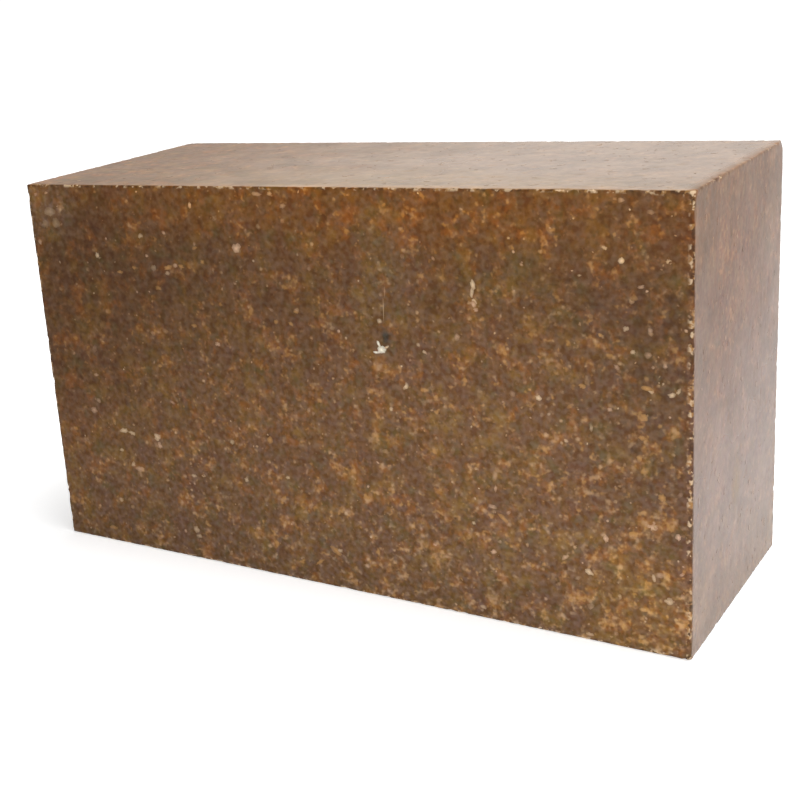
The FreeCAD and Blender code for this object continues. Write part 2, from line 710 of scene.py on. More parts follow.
@dataclass
class CoarseGrains:
    """Crushed grains up to a few millimetres, scattered over the faces and pressed flush.

    The radii and proud are in metres, the density and its gain go by the metre, and clear_of_arris
    and jag_span are in millimetres. A grain is stretched by its draw from widths one way and
    narrowed by it the other way, and its thickness is thinness of its radius. Its points stray by up
    to half of jag, in radii, and its cover falls to rim_cover over the range rim, in radii too.
    """

    density: float = 12000.0
    least: float = 0.35 * MM
    most: float = 1.15 * MM
    proud: float = 0.04 * MM
    clear_of_arris: float = 2.0
    gain_along: float = 2.0
    sides: int = 10
    widths: tuple[float, float] = (0.75, 1.5)
    thinness: float = 0.6
    jag: float = 1.9
    jag_span: float = 1.1
    tones: tuple[float, float] = (0.02, 1.0)
    least_cover: float = 0.2
    cover_gain: float = 0.62
    rim: tuple[float, float] = (0.2, 1.3)
    rim_cover: float = 0.15
    seed: int = 8

    def build(self, block: bpy.types.Object, material: bpy.types.Material) -> bpy.types.Object:
        """Scatters the grains over the finished block.

        Args:
            block: The block, with its worn surface.
            material: The fired body, which colours a grain by the tone that it carries.

        Returns:
            One object with all the grains in its mesh.
        """
        group = ShapeGroup(GRAINS_PIECE, {
            "Grains per Square Metre": self.density,
            "Least Radius": self.least,
            "Most Radius": self.most,
            "Proud": self.proud,
            "Clear of Arris": self.clear_of_arris,
            "Gain per Metre": self.gain_along,
        })
        tree = group.tree
        scattered = self._scattered(tree, group.start, group.given)
        pressed = self._pressed(tree, scattered, group.given)
        real = tree.out(tree.node("GeometryNodeRealizeInstances", {"Geometry": pressed}))
        dressed = tree.node("GeometryNodeSetMaterial", {"Geometry": real, "Material": material})
        return group.run(GRAINS_PIECE, tree.out(dressed), block.data.copy())

    def _scattered(self, tree: ShapeTree, block: Signal, given: dict[str, Signal]) -> Signal:
        """Puts a pebble of its own size, turn and tone on each of the scattered points.

        Args:
            tree: The geometry tree.
            block: The surface that the grains lie in.
            given: The sizes, by name.

        Returns:
            The pebbles as one mesh.
        """
        sound = tree.math("GREATER_THAN", tree.read(ARRIS_GAP), given["Clear of Arris"])
        along, _, _ = tree.spot().parts()
        density = given["Grains per Square Metre"] * (1.0 + along * given["Gain per Metre"])
        spread = tree.node("GeometryNodeDistributePointsOnFaces",
                           {"Mesh": block, "Selection": sound, "Density": density, "Seed": self.seed},
                           distribute_method="RANDOM")
        draw = tree.chance(0.0, 1.0, self.seed + 1)
        choice = given["Most Radius"] - given["Least Radius"]
        radius = given["Least Radius"] + choice * draw * draw * draw
        points = tree.store(tree.out(spread, "Points"), GRAIN_RADIUS, radius)
        points = tree.store(points, GRAIN_ANCHOR, tree.spot(), "FLOAT_VECTOR")
        points = tree.store(points, GRAIN_UP, tree.out(spread, "Normal"), "FLOAT_VECTOR")
        points = tree.store(points, GRAIN_TONE, tree.chance(*self.tones, self.seed + 2))
        cover = tree.chance(0.0, 1.0, self.seed + 3)
        points = tree.store(points, GRAIN_COVER, cover * cover * self.cover_gain + self.least_cover)
        points = tree.store(points, ARRIS_GAP, FAR_FROM_ARRIS)
        pebble = tree.node("GeometryNodeMeshCylinder",
                           {"Vertices": self.sides, "Radius": 1.0, "Depth": 2.0},
                           fill_type="TRIANGLE_FAN")
        spin = tree.node("FunctionNodeAxisAngleToRotation",
                         {"Axis": (0.0, 0.0, 1.0), "Angle": tree.chance(0.0, math.tau, self.seed + 4)})
        turn = tree.node("FunctionNodeRotateRotation",
                         {"Rotation": tree.out(spread, "Rotation"), "Rotate By": tree.out(spin)},
                         rotation_space="LOCAL")
        wide = tree.chance(*self.widths, self.seed + 5)
        scale = tree.combine(radius * wide, radius / wide, radius * self.thinness)
        placed = tree.node("GeometryNodeInstanceOnPoints",
                           {"Points": points, "Instance": tree.out(pebble), "Rotation": tree.out(turn),
                            "Scale": scale})
        return tree.out(tree.node("GeometryNodeRealizeInstances", {"Geometry": tree.out(placed)}))

    def _pressed(self, tree: ShapeTree, pebbles: Signal, given: dict[str, Signal]) -> Signal:
        """Makes each pebble jagged, and flattens it just proud of the face that it lies in.

        Args:
            tree: The geometry tree.
            pebbles: The pebbles, which carry their radius, their place and their upward direction.
            given: The sizes, by name.

        Returns:
            The pressed grains, each with a cover that fades towards its rim.
        """
        place = tree.spot()
        radius = tree.read(GRAIN_RADIUS)
        jag = tree.out(tree.noise(place * PER_MM, self.jag_span, 1.0, 0.6, seed=21.0), "Color") - 0.5
        rough = tree.moved(pebbles, place + jag * tree.combine(radius, radius, radius) * self.jag)
        up = tree.read(GRAIN_UP, "FLOAT_VECTOR")
        anchor = tree.read(GRAIN_ANCHOR, "FLOAT_VECTOR")
        spot = tree.spot()
        height = tree.vector("DOT_PRODUCT", spot - anchor, up)
        over = (height - given["Proud"]).most(0.0)
        flush = tree.moved(rough, spot - up * tree.combine(over, over, over))
        reach = tree.vector("DISTANCE", spot, anchor) / radius
        cover = tree.read(GRAIN_COVER) * tree.ramp(reach, *self.rim, 1.0, self.rim_cover)
        flush = tree.store(flush, GRAIN_COVER, cover)
        for name in (GRAIN_RADIUS, GRAIN_ANCHOR, GRAIN_UP):
            flush = tree.out(tree.node("GeometryNodeRemoveAttribute", {"Geometry": flush, "Name": name}))
        return flush

    def dress(self, grains: bpy.types.Object) -> None:
        """Lets the grains ride on the block.

        Args:
            grains: The object with all the grains.
        """
        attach(grains, BODY)
        LOG.info("%s: %d triangles", grains.name, sum(len(p.vertices) - 2 for p in grains.data.polygons))


class Tone(Enum):
    """The tone that a grain carries, which the finish turns into a pigment."""

    GOLD = 0.2
    TAN = 0.35
    ROSE = 0.6
    CREAM = 0.9
    WHITE = 1.5


@dataclass(frozen=True)
class Mark:
    """One light grain or chip that stands out on the front face.

    Places count from the middle of the brick and from the floor, in millimetres, and the turn is
    that of the mark's width, anticlockwise in degrees. A cover of 1 hides the body's own colour.
    """

    across: float
    up: float
    width: float
    height: float
    turn: float
    tone: Tone
    cover: float


@dataclass
class FrontMarks:
    """The grains, the chip and the scratch that a viewer would know this very brick by.

    The lengths are in millimetres. A flake's outline strays by up to jag of its reach, its rim keeps
    rim_cover of its cover, its crown stands proud of the face and its root is sunk by depth. The
    face is looked for from the place ahead of it, no lower than least_up, and is taken to lie at
    plain_face where none is found.
    """

    squarish_grain: Mark = Mark(-39.0, 120.0, 3.6, 3.4, 20.0, Tone.ROSE, 0.95)
    long_grain: tuple[Mark, ...] = (
        Mark(50.0, 117.0, 1.6, 3.4, 15.0, Tone.CREAM, 0.8),
        Mark(49.6, 114.2, 1.3, 3.6, -8.0, Tone.CREAM, 0.75),
        Mark(50.6, 111.4, 2.6, 1.4, -35.0, Tone.CREAM, 0.8),
        Mark(51.0, 108.8, 1.5, 1.6, 0.0, Tone.ROSE, 0.7),
    )
    star_chip: tuple[Mark, ...] = (
        Mark(16.4, 91.0, 3.2, 2.6, 10.0, Tone.WHITE, 1.0),
        Mark(15.2, 93.0, 0.9, 3.2, 25.0, Tone.WHITE, 0.95),
        Mark(14.4, 90.0, 2.8, 0.8, 5.0, Tone.WHITE, 0.95),
        Mark(18.2, 92.2, 2.4, 0.8, 35.0, Tone.CREAM, 0.8),
    )
    scratch: tuple[Mark, ...] = (
        Mark(17.4, 105.0, 0.36, 9.0, 0.0, Tone.CREAM, 0.42),
        Mark(18.0, 111.0, 0.3, 4.0, -3.0, Tone.CREAM, 0.25),
    )
    bright_corner: tuple[Mark, ...] = (
        Mark(99.8, 129.7, 2.2, 2.0, 10.0, Tone.CREAM, 0.85),
        Mark(94.2, 133.2, 1.8, 1.2, -20.0, Tone.CREAM, 0.6),
        Mark(114.7, 130.9, 1.8, 1.6, 0.0, Tone.CREAM, 0.6),
        Mark(106.2, 122.3, 2.2, 1.2, 15.0, Tone.ROSE, 0.55),
        Mark(103.4, 117.6, 1.8, 2.0, 0.0, Tone.TAN, 0.7),
        Mark(101.8, 108.6, 2.0, 1.5, 30.0, Tone.CREAM, 0.6),
        Mark(109.9, 108.0, 1.8, 1.6, 0.0, Tone.TAN, 0.6),
        Mark(104.3, 101.5, 1.5, 1.5, 0.0, Tone.CREAM, 0.55),
    )
    dusty_corner: tuple[Mark, ...] = (
        Mark(-117.8, 125.8, 5.2, 3.2, 20.0, Tone.CREAM, 0.3),
        Mark(-115.6, 122.0, 3.4, 4.0, 0.0, Tone.CREAM, 0.22),
        Mark(-120.6, 121.0, 2.6, 3.0, -20.0, Tone.CREAM, 0.2),
        Mark(-113.0, 127.8, 3.6, 2.0, 0.0, Tone.CREAM, 0.18),
    )
    upper_left: tuple[Mark, ...] = (
        Mark(-67.9, 110.3, 3.4, 1.8, 15.0, Tone.GOLD, 1.0),
        Mark(-62.3, 111.4, 2.2, 1.3, -10.0, Tone.GOLD, 0.9),
        Mark(-72.8, 102.5, 2.4, 1.6, 0.0, Tone.GOLD, 0.75),
        Mark(-78.8, 120.6, 2.0, 1.6, 30.0, Tone.CREAM, 0.5),
        Mark(-88.9, 106.6, 2.2, 1.4, 0.0, Tone.GOLD, 0.85),
        Mark(-82.6, 108.8, 1.8, 1.2, 0.0, Tone.GOLD, 0.75),
        Mark(-56.2, 118.5, 2.2, 1.2, 20.0, Tone.GOLD, 0.7),
        Mark(-53.3, 113.9, 1.6, 1.4, 0.0, Tone.GOLD, 0.8),
        Mark(-29.6, 139.4, 3.6, 1.4, 0.0, Tone.ROSE, 0.5),
        Mark(-24.4, 140.0, 2.0, 1.6, 0.0, Tone.ROSE, 0.55),
        Mark(-19.7, 136.2, 2.4, 1.4, 25.0, Tone.ROSE, 0.4),
        Mark(-16.3, 100.4, 2.0, 1.4, 0.0, Tone.GOLD, 0.85),
        Mark(-18.5, 95.9, 2.2, 1.3, -25.0, Tone.GOLD, 0.8),
        Mark(-24.5, 95.9, 1.6, 1.6, 0.0, Tone.GOLD, 0.7),
        Mark(-58.6, 90.4, 2.2, 1.4, 0.0, Tone.GOLD, 0.8),
        Mark(-74.7, 73.5, 1.8, 1.4, 0.0, Tone.GOLD, 0.75),
        Mark(-104.1, 66.2, 2.2, 1.5, 0.0, Tone.ROSE, 0.5),
    )
    left_half: tuple[Mark, ...] = (
        Mark(-98.4, 111.8, 1.8, 2.2, 0.0, Tone.CREAM, 0.75),
        Mark(-68.3, 108.4, 2.0, 1.6, 0.0, Tone.CREAM, 0.55),
        Mark(-49.2, 84.9, 2.4, 1.6, 10.0, Tone.ROSE, 0.7),
        Mark(-16.0, 101.0, 1.6, 1.6, 0.0, Tone.TAN, 0.7),
        Mark(-93.4, 46.0, 3.6, 2.0, 8.0, Tone.CREAM, 0.8),
        Mark(-89.8, 45.6, 3.4, 1.6, -12.0, Tone.CREAM, 0.75),
        Mark(-78.6, 45.8, 2.6, 2.8, 5.0, Tone.CREAM, 0.8),
        Mark(-77.8, 42.8, 2.0, 2.8, 20.0, Tone.ROSE, 0.8),
        Mark(-87.6, 31.8, 3.6, 2.0, 10.0, Tone.ROSE, 0.6),
        Mark(-90.6, 33.2, 1.8, 2.2, -30.0, Tone.CREAM, 0.6),
        Mark(-95.3, 38.1, 2.0, 1.4, 0.0, Tone.CREAM, 0.6),
        Mark(-106.6, 52.2, 2.8, 2.4, 0.0, Tone.ROSE, 0.6),
        Mark(-104.0, 56.3, 2.2, 1.8, 0.0, Tone.ROSE, 0.5),
        Mark(-63.4, 33.0, 2.2, 1.3, 0.0, Tone.CREAM, 0.5),
        Mark(-59.0, 33.7, 1.8, 1.2, 0.0, Tone.CREAM, 0.5),
        Mark(-64.2, 11.6, 2.8, 2.6, 35.0, Tone.CREAM, 0.55),
        Mark(-102.5, 5.4, 3.6, 1.6, 0.0, Tone.GOLD, 0.9),
        Mark(-45.7, 48.9, 1.8, 1.8, 0.0, Tone.CREAM, 0.5),
        Mark(-29.6, 52.2, 2.4, 2.6, 0.0, Tone.GOLD, 0.9),
        Mark(-92.8, 15.6, 2.4, 1.8, 0.0, Tone.TAN, 0.6),
        Mark(-62.9, 9.2, 2.4, 1.5, 0.0, Tone.CREAM, 0.5),
        Mark(-40.5, 35.3, 1.7, 1.9, 0.0, Tone.CREAM, 0.6),
        Mark(-23.0, 39.0, 2.0, 1.4, 12.0, Tone.CREAM, 0.6),
    )
    right_half: tuple[Mark, ...] = (
        Mark(-2.8, 14.5, 2.2, 1.5, 0.0, Tone.CREAM, 0.6),
        Mark(8.0, 10.8, 1.6, 1.6, 0.0, Tone.ROSE, 0.6),
        Mark(-4.2, 14.2, 5.4, 2.4, -38.0, Tone.GOLD, 0.95),
        Mark(-11.2, 8.6, 4.4, 1.4, 40.0, Tone.GOLD, 0.95),
        Mark(19.3, 70.7, 1.5, 1.5, 0.0, Tone.CREAM, 0.55),
        Mark(32.2, 92.4, 1.4, 1.2, 0.0, Tone.CREAM, 0.6),
        Mark(60.6, 38.5, 4.4, 1.5, -40.0, Tone.GOLD, 0.95),
        Mark(73.0, 82.2, 2.2, 1.8, 0.0, Tone.CREAM, 0.8),
        Mark(87.8, 88.4, 2.2, 1.8, 0.0, Tone.GOLD, 1.0),
        Mark(82.7, 69.2, 1.6, 1.2, 0.0, Tone.CREAM, 0.6),
        Mark(93.5, 105.7, 1.8, 1.2, -20.0, Tone.GOLD, 1.0),
        Mark(109.2, 90.4, 4.2, 1.8, -12.0, Tone.GOLD, 1.0),
        Mark(110.6, 89.6, 2.0, 1.2, -20.0, Tone.CREAM, 0.7),
        Mark(117.4, 89.4, 2.8, 1.6, 15.0, Tone.CREAM, 0.7),
        Mark(119.4, 90.8, 1.3, 2.4, -25.0, Tone.CREAM, 0.6),
        Mark(108.6, 80.8, 3.0, 2.4, 30.0, Tone.GOLD, 1.0),
        Mark(108.2, 74.1, 2.6, 1.6, 0.0, Tone.GOLD, 0.9),
        Mark(115.5, 55.2, 2.6, 2.4, 0.0, Tone.GOLD, 0.9),
        Mark(109.6, 108.9, 1.5, 2.2, 10.0, Tone.ROSE, 0.45),
        Mark(112.5, 44.4, 3.4, 2.2, 8.0, Tone.ROSE, 0.75),
        Mark(97.0, 37.7, 1.8, 2.6, 12.0, Tone.ROSE, 0.9),
        Mark(57.1, 25.5, 2.0, 1.8, 0.0, Tone.ROSE, 0.85),
        Mark(91.4, 24.8, 3.2, 2.0, -30.0, Tone.CREAM, 0.8),
        Mark(83.0, 28.5, 2.8, 1.4, 35.0, Tone.ROSE, 0.65),
        Mark(119.2, 19.7, 3.0, 2.6, -15.0, Tone.CREAM, 0.7),
        Mark(53.2, 4.1, 2.2, 1.5, 0.0, Tone.CREAM, 0.55),
        Mark(92.3, 2.3, 3.0, 1.2, 0.0, Tone.CREAM, 0.55),
        Mark(113.8, 26.8, 1.4, 3.0, 20.0, Tone.CREAM, 0.6),
        Mark(121.3, 42.6, 1.8, 2.2, 0.0, Tone.ROSE, 0.85),
    )
    points: int = 14
    jag: float = 0.24
    rim_cover: float = 0.36
    proud: float = 0.03
    depth: float = 0.6
    ahead: float = -100.0
    least_up: float = 0.5
    plain_face: float = -49.8
    seed: int = 23

    def all_marks(self) -> list[Mark]:
        """Collects every mark.

        Returns:
            The marks in one list.
        """
        groups = (self.long_grain, self.star_chip, self.scratch, self.bright_corner,
                  self.dusty_corner, self.upper_left, self.left_half, self.right_half)
        return [self.squarish_grain, *(mark for group in groups for mark in group)]

    def build(self, block: bpy.types.Object, material: bpy.types.Material) -> bpy.types.Object:
        """Lays a thin flake for each mark on the front of the block.

        Args:
            block: The block, with its worn surface.
            material: The fired body, which colours a flake by the tone that it carries.

        Returns:
            One object with all the flakes in its mesh.
        """
        surface = BVHTree.FromPolygons([v.co for v in block.data.vertices],
                                       [p.vertices for p in block.data.polygons])
        draw = random.Random(self.seed)
        shape = bmesh.new()
        tone_layer = shape.verts.layers.float.new(GRAIN_TONE)
        cover_layer = shape.verts.layers.float.new(GRAIN_COVER)
        gap_layer = shape.verts.layers.float.new(ARRIS_GAP)
        for mark in self.all_marks():
            flake = self._flake(shape, surface, mark, draw)
            for vertex in flake:
                vertex[tone_layer] = mark.tone.value
                vertex[cover_layer] = mark.cover * self.rim_cover
                vertex[gap_layer] = FAR_FROM_ARRIS
            flake[-1][cover_layer] = mark.cover
        bmesh.ops.recalc_face_normals(shape, faces=shape.faces)
        mesh = bpy.data.meshes.new(MARKS_PIECE)
        shape.to_mesh(mesh)
        shape.free()
        mesh.materials.append(material)
        made = bpy.data.objects.new(MARKS_PIECE, mesh)
        bpy.context.scene.collection.objects.link(made)
        return made

    def _flake(self, shape: bmesh.types.BMesh, surface: BVHTree, mark: Mark,
               draw: random.Random) -> list[bmesh.types.BMVert]:
        """Adds one closed flake: a jagged outline with a low crown, sunk into the face.

        Args:
            shape: The mesh that the flake goes into.
            surface: The worn surface of the block.
            mark: The place, the size and the turn of the flake.
            draw: The seeded source of its jaggedness.

        Returns:
            The flake's vertices, with the crown as the last one.
        """
        turn = math.radians(mark.turn)
        tops, lows = [], []
        for index in range(self.points):
            angle = math.tau * index / self.points
            reach = 1.0 + draw.uniform(-self.jag, self.jag)
            wide = math.cos(angle) * mark.width / 2 * reach
            high = math.sin(angle) * mark.height / 2 * reach
            across = mark.across + wide * math.cos(turn) - high * math.sin(turn)
            up = mark.up + wide * math.sin(turn) + high * math.cos(turn)
            face = self._face(surface, across, up)
            tops.append(shape.verts.new(Vector((across, face - self.proud / 2, up)) * MM))
            lows.append(shape.verts.new(Vector((across, face + self.depth, up)) * MM))
        face = self._face(surface, mark.across, mark.up)
        crown = shape.verts.new(Vector((mark.across, face - self.proud, mark.up)) * MM)
        root = shape.verts.new(Vector((mark.across, face + self.depth, mark.up)) * MM)
        for index in range(self.points):
            after = (index + 1) % self.points
            shape.faces.new((crown, tops[index], tops[after]))
            shape.faces.new((tops[index], lows[index], lows[after], tops[after]))
            shape.faces.new((root, lows[after], lows[index]))
        return [*tops, *lows, root, crown]

    def _face(self, surface: BVHTree, across: float, up: float) -> float:
        """Finds the front surface at a place.

        Args:
            surface: The worn surface of the block.
            across: The place along the brick, in millimetres.
            up: The height above the floor, in millimetres.

        Returns:
            Where the surface lies along the thickness, in millimetres.
        """
        start = Vector((across * MM, self.ahead * MM, max(self.least_up, up) * MM))
        hit, _, _, _ = surface.ray_cast(start, Vector((0.0, 1.0, 0.0)))
        return hit.y * PER_MM if hit else self.plain_face

    def dress(self, marks: bpy.types.Object) -> None:
        """Lets the marks ride on the block.

        Args:
            marks: The object with all the flakes.
        """
        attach(marks, BODY)
        LOG.info("%s: %d flakes", marks.name, len(self.all_marks()))


@dataclass(frozen=True)
class Tint:
    """A soft change of shade: its middle and reach in millimetres, and its gain on each colour."""

    middle: tuple[float, float, float]
    reach: tuple[float, float, float]
    gain: tuple[float, float, float]


@dataclass(frozen=True)
class Layer:
    """A pigment that comes in while its drive goes from start to end, up to a strength.

    A layer that fades has its strength at the start and is gone at the end.
    """

    pigment: Pigment
    start: float
    end: float
    strength: float
    fades: bool = False

    def over(self, tree: Tree, colour: Signal, drive: Signal) -> Signal:
        """Lays the pigment over a colour.

        Args:
            tree: The finish's node tree.
            colour: The colour so far.
            drive: What the layer follows.

        Returns:
            The colour with the layer on it.
        """
        bounds = (1.0, 0.0) if self.fades else (0.0, 1.0)
        share = tree.ramp(drive, self.start, self.end, *bounds) * self.strength
        return tree.blend(share, colour, self.pigment.linear())


@dataclass(frozen=True)
class FiredFinish:
    """The fired body: a mottled brown matrix with lighter grains, and a paler die-formed skin with a
    painted sheen.

    The spans are those of the patterns, in millimetres. The hues follow their soft patches, with
    fine_share of the finer pattern in them. The light grains gather where grain_slope, a gain per
    millimetre along and up, raises them above the ground at mid_height. The pressed faces begin
    between the two values of face_depth, which count from the middle. The brown body runs over the
    arrises onto the large end by worn_rim, along rim_stretch. The pale colour of the sides is partly a
    skin of fines and partly a painted sheen of grazing light. It is thin within painted_shade_end, a
    middle and a reach, which paints shade at the top of the large end. The first value of
    skin_and_sheen_share and of side_roughness is for the small end and the second one for the rest,
    and they change along share_stretch and gloss_stretch, which sway with a soft pattern; the rising
    share paints the sheen that lightens the sides towards the large end. The tints hold patches of the
    body's own colour and painted shade and light. Beads lie along the arrises within bead_reach, whose
    second value is for the large end, past bead_stretch, with painted shade in dark gaps between them.
    """

    dark_brown: Pigment = Pigment(93, 64, 40)
    mid_brown: Pigment = Pigment(112, 82, 56)
    gold: Pigment = Pigment(174, 131, 80)
    tan: Pigment = Pigment(180, 146, 110)
    rose: Pigment = Pigment(208, 172, 142)
    # The colour of the pores and dark grains, also used for the painted shade between the beads on the
    # arrises.
    pore_and_painted_shade: Pigment = Pigment(62, 42, 28)
    cream: Pigment = Pigment(226, 198, 162)
    white: Pigment = Pigment(246, 240, 220)
    # The pale colour of the die-formed sides: partly a skin of fines, partly a painted sheen of grazing
    # light.
    skin: Pigment = Pigment(158, 134, 112)
    rust_patches: Layer = Layer(Pigment(150, 92, 45), 0.48, 0.66, 0.52)
    ochre_patches: Layer = Layer(Pigment(138, 106, 52), 0.49, 0.68, 0.48)
    olive_patches: Layer = Layer(Pigment(96, 87, 52), 0.33, 0.51, 0.5, fades=True)
    plum_patches: Layer = Layer(Pigment(98, 67, 58), 0.32, 0.50, 0.42, fades=True)
    amber_patches: Layer = Layer(Pigment(157, 112, 61), 0.06, 0.27, 0.65)
    gold_flecks: Layer = Layer(gold, 0.63, 0.88, 0.7)
    pores: Layer = Layer(pore_and_painted_shade, 0.25, 0.44, 0.3, fades=True)
    tan_grit: Layer = Layer(tan, 0.62, 1.0, 0.55)
    fine_share: float = 0.35
    mottle_span: float = 3.3
    patch_span: float = 8.0
    grit_span: float = 1.8
    fleck_span: float = 2.4
    speck_cell: float = 2.7
    speck_jag: float = 0.9
    bump_span: float = 1.0
    bump_depth: float = 0.12 * MM
    bump_strength: float = 0.3
    mirror_level: float = 0.15
    tint_border_span: float = 16.0
    tint_border_sway: float = 0.9
    tint_grain_span: float = 3.2
    skin_and_sheen_patch_span: float = 16.0
    skin_and_sheen_grain_span: float = 3.0
    skin_and_sheen_border_span: float = 22.0
    skin_and_sheen_border_sway: float = 70.0
    # The share of the pale colour rises towards the large end, which paints the sheen that lightens the
    # sides that way.
    share_stretch: tuple[float, float] = (-130.0, 40.0)
    gloss_stretch: tuple[float, float] = (-140.0, 70.0)
    skin_and_sheen_share: tuple[float, float] = (0.16, 0.62)
    side_roughness: tuple[float, float] = (0.45, 0.24)
    face_roughness: float = 0.62
    # Soft tints on the front: painted shade and light mixed with the body's own colour, and a painted
    # shadow above the star chip.
    front_tints_and_painted_shade: tuple[Tint, ...] = (
        # Painted shade and light mixed with the body's own colour: these five darken the upper part and
        # both ends of the front and make its bottom lighter and paler.
        Tint((20.0, -50.0, 165.0), (270.0, 30.0, 90.0), (0.65, 0.56, 0.42)),
        Tint((-130.0, -50.0, 96.0), (90.0, 30.0, 76.0), (0.62, 0.54, 0.43)),
        Tint((128.0, -50.0, 100.0), (60.0, 30.0, 85.0), (0.70, 0.72, 0.73)),
        Tint((-45.0, -50.0, 98.0), (65.0, 30.0, 36.0), (0.80, 0.78, 0.76)),
        Tint((20.0, -50.0, -5.0), (260.0, 30.0, 55.0), (1.05, 1.12, 1.25)),
        # The body's own colour: a grey patch at the upper left corner.
        Tint((-119.0, -50.0, 126.5), (13.0, 30.0, 17.0), (1.7, 2.1, 2.8)),
        # Painted light mixed with a golden tone: the lower right lighter and yellower.
        Tint((112.0, -50.0, 18.0), (28.0, 30.0, 24.0), (1.22, 1.16, 0.84)),
        # Painted shadow: a small dark patch above the star chip's pale core.
        Tint((17.9, -50.0, 95.6), (2.6, 30.0, 3.0), (0.40, 0.60, 0.80)),
        # The body's own colour: a bluish grey patch.
        Tint((18.0, -50.0, 118.0), (14.0, 30.0, 24.0), (1.0, 1.16, 1.36)),
        Tint((60.0, -50.0, 122.0), (30.0, 30.0, 14.0), (0.84, 0.93, 0.98)),
        Tint((-125.0, -50.0, 42.0), (45.0, 30.0, 30.0), (1.14, 1.08, 1.03)),
    )
    # Soft tints on the large end and the top, mostly the body's own colour, with painted shade at the top
    # of the large end.
    side_tints_and_painted_shade: tuple[Tint, ...] = (
        Tint((125.0, -2.0, 44.0), (30.0, 6.0, 13.0), (1.05, 1.0, 0.58)),
        # Painted shade: the top of the large end browner and a little darker, as less light falls there.
        Tint((124.0, -20.0, 165.0), (7.0, 130.0, 110.0), (1.08, 0.88, 0.79)),
        Tint((126.0, 0.0, 70.0), (6.0, 120.0, 130.0), (0.98, 0.88, 1.04)),
        Tint((128.0, 0.0, -8.0), (6.0, 120.0, 50.0), (0.96, 0.88, 0.72)),
        Tint((0.0, -50.0, 146.0), (190.0, 42.0, 30.0), (0.99, 0.93, 0.66)),
        Tint((0.0, -49.5, 146.0), (220.0, 6.5, 30.0), (1.55, 1.42, 1.3)),
    )
    grain_slope: tuple[float, float] = (0.0004, -0.0006)
    mid_height: float = 76.0
    face_depth: tuple[float, float] = (49.2, 49.75)
    worn_rim: float = 1.1
    rim_stretch: tuple[float, float] = (122.0, 127.0)
    bead_span: float = 2.0
    bead_grain_span: float = 1.4
    bead_stretch: tuple[float, float] = (100.0, 124.0)
    bead_reach: tuple[float, float] = (1.4, 2.6)
    # Painted shade: the pale colour thins at the top of the large end, which looks darker as less light
    # falls there.
    painted_shade_end: tuple[Vector, Vector] = (Vector((124.0, -20.0, 160.0)), Vector((7.0, 130.0, 125.0)))
    name: str = "speckled_fired_body"

    def make(self) -> bpy.types.Material:
        """Builds the material.

        Returns:
            The material, which reads Object coordinates and the attributes of the meshes.
        """
        material = bpy.data.materials.new(self.name)
        material.use_nodes = True
        material.node_tree.nodes.clear()
        tree = Tree(material.node_tree)
        place = tree.out(tree.node("ShaderNodeTexCoord"), "Object") * PER_MM
        side = self._side_share(tree, place)
        # Front tints: painted shade and light mixed with the body's own colour, and a painted shadow
        # above the star chip.
        colour = self._tinted(tree, place, self._body(tree, place, side), self.front_tints_and_painted_shade)
        colour = self._with_grain_tone(tree, place, colour)
        # The pale colour of the sides: partly a skin of fines, partly a painted sheen, with painted shade
        # at the top of the large end.
        share, gloss = self._side_skin_and_sheen(tree, place)
        colour = tree.blend(side * share, colour, self._skin_and_sheen(tree, place))
        # Side tints: the body's own colour, with painted shade at the top of the large end.
        colour = self._tinted(tree, place, colour, self.side_tints_and_painted_shade)
        colour = self._with_fresh_arrises(tree, place, colour, side)
        rough = tree.ramp(side, 0.0, 1.0, self.face_roughness, gloss)
        height = tree.cloud(place, self.bump_span, 1.0, 0.6, seed=9.0)
        bump = tree.node("ShaderNodeBump", {"Strength": self.bump_strength, "Distance": self.bump_depth,
                                            "Height": height})
        shader = tree.node("ShaderNodeBsdfPrincipled",
                           {"Base Color": colour, "Roughness": rough, "Normal": tree.out(bump),
                            "Specular IOR Level": self.mirror_level})
        tree.node("ShaderNodeOutputMaterial", {"Surface": tree.out(shader)})
        LOG.info("%s: %d nodes", self.name, len(material.node_tree.nodes))
        return material

    def _side_share(self, tree: Tree, place: Signal) -> Signal:
        """Tells the sides that the die formed from the two pressed faces.

        Args:
            tree: The finish's node tree.
            place: The point, in millimetres.

        Returns:
            One on the sides and zero on the pressed faces, with a ragged rim at the large end.
        """
        along, through, _ = place.parts()
        ragged = tree.cloud(place, 2.2, 1.0, seed=47.0) * 1.6 + 0.2
        worn = tree.ramp(along, *self.rim_stretch, 0.0, self.worn_rim) * ragged
        whole = tree.ramp(through.size(), *self.face_depth, 1.0, 0.0)
        return whole * 0.45 + tree.ramp(through.size() + worn, *self.face_depth, 1.0, 0.0) * 0.55

    def _side_skin_and_sheen(self, tree: Tree, place: Signal) -> tuple[Signal, Signal]:
        """How much of the pale skin and painted sheen the sides carry, and how rough they are.

        The pale colour thins out and gets rougher towards the small end and at the top of the large end.
        Its rise towards the large end paints the sheen on the sides, and its thinning at the top of the
        large end paints shade there.

        Args:
            tree: The finish's node tree.
            place: The point, in millimetres.

        Returns:
            The share of the pale skin and painted sheen, and the roughness of the sides.
        """
        along, _, _ = place.parts()
        border = tree.cloud(place, self.skin_and_sheen_border_span, 2.0, 0.6, seed=44.0)
        wobble = (border - 0.5) * self.skin_and_sheen_border_sway
        share = tree.ramp(along + wobble, *self.share_stretch, *self.skin_and_sheen_share)
        rough = tree.ramp(along + wobble, *self.gloss_stretch, *self.side_roughness)
        # Painted shade at the top of the large end: less of the pale colour there, and a rougher surface.
        middle, reach = self.painted_shade_end
        far = tree.vector("LENGTH", (place - middle) / reach) + wobble * 0.006
        painted_shade_area = tree.ramp(far, 0.1, 1.1, 1.0, 0.0)
        return share * (1.0 - painted_shade_area * 0.4), rough + painted_shade_area * 0.18

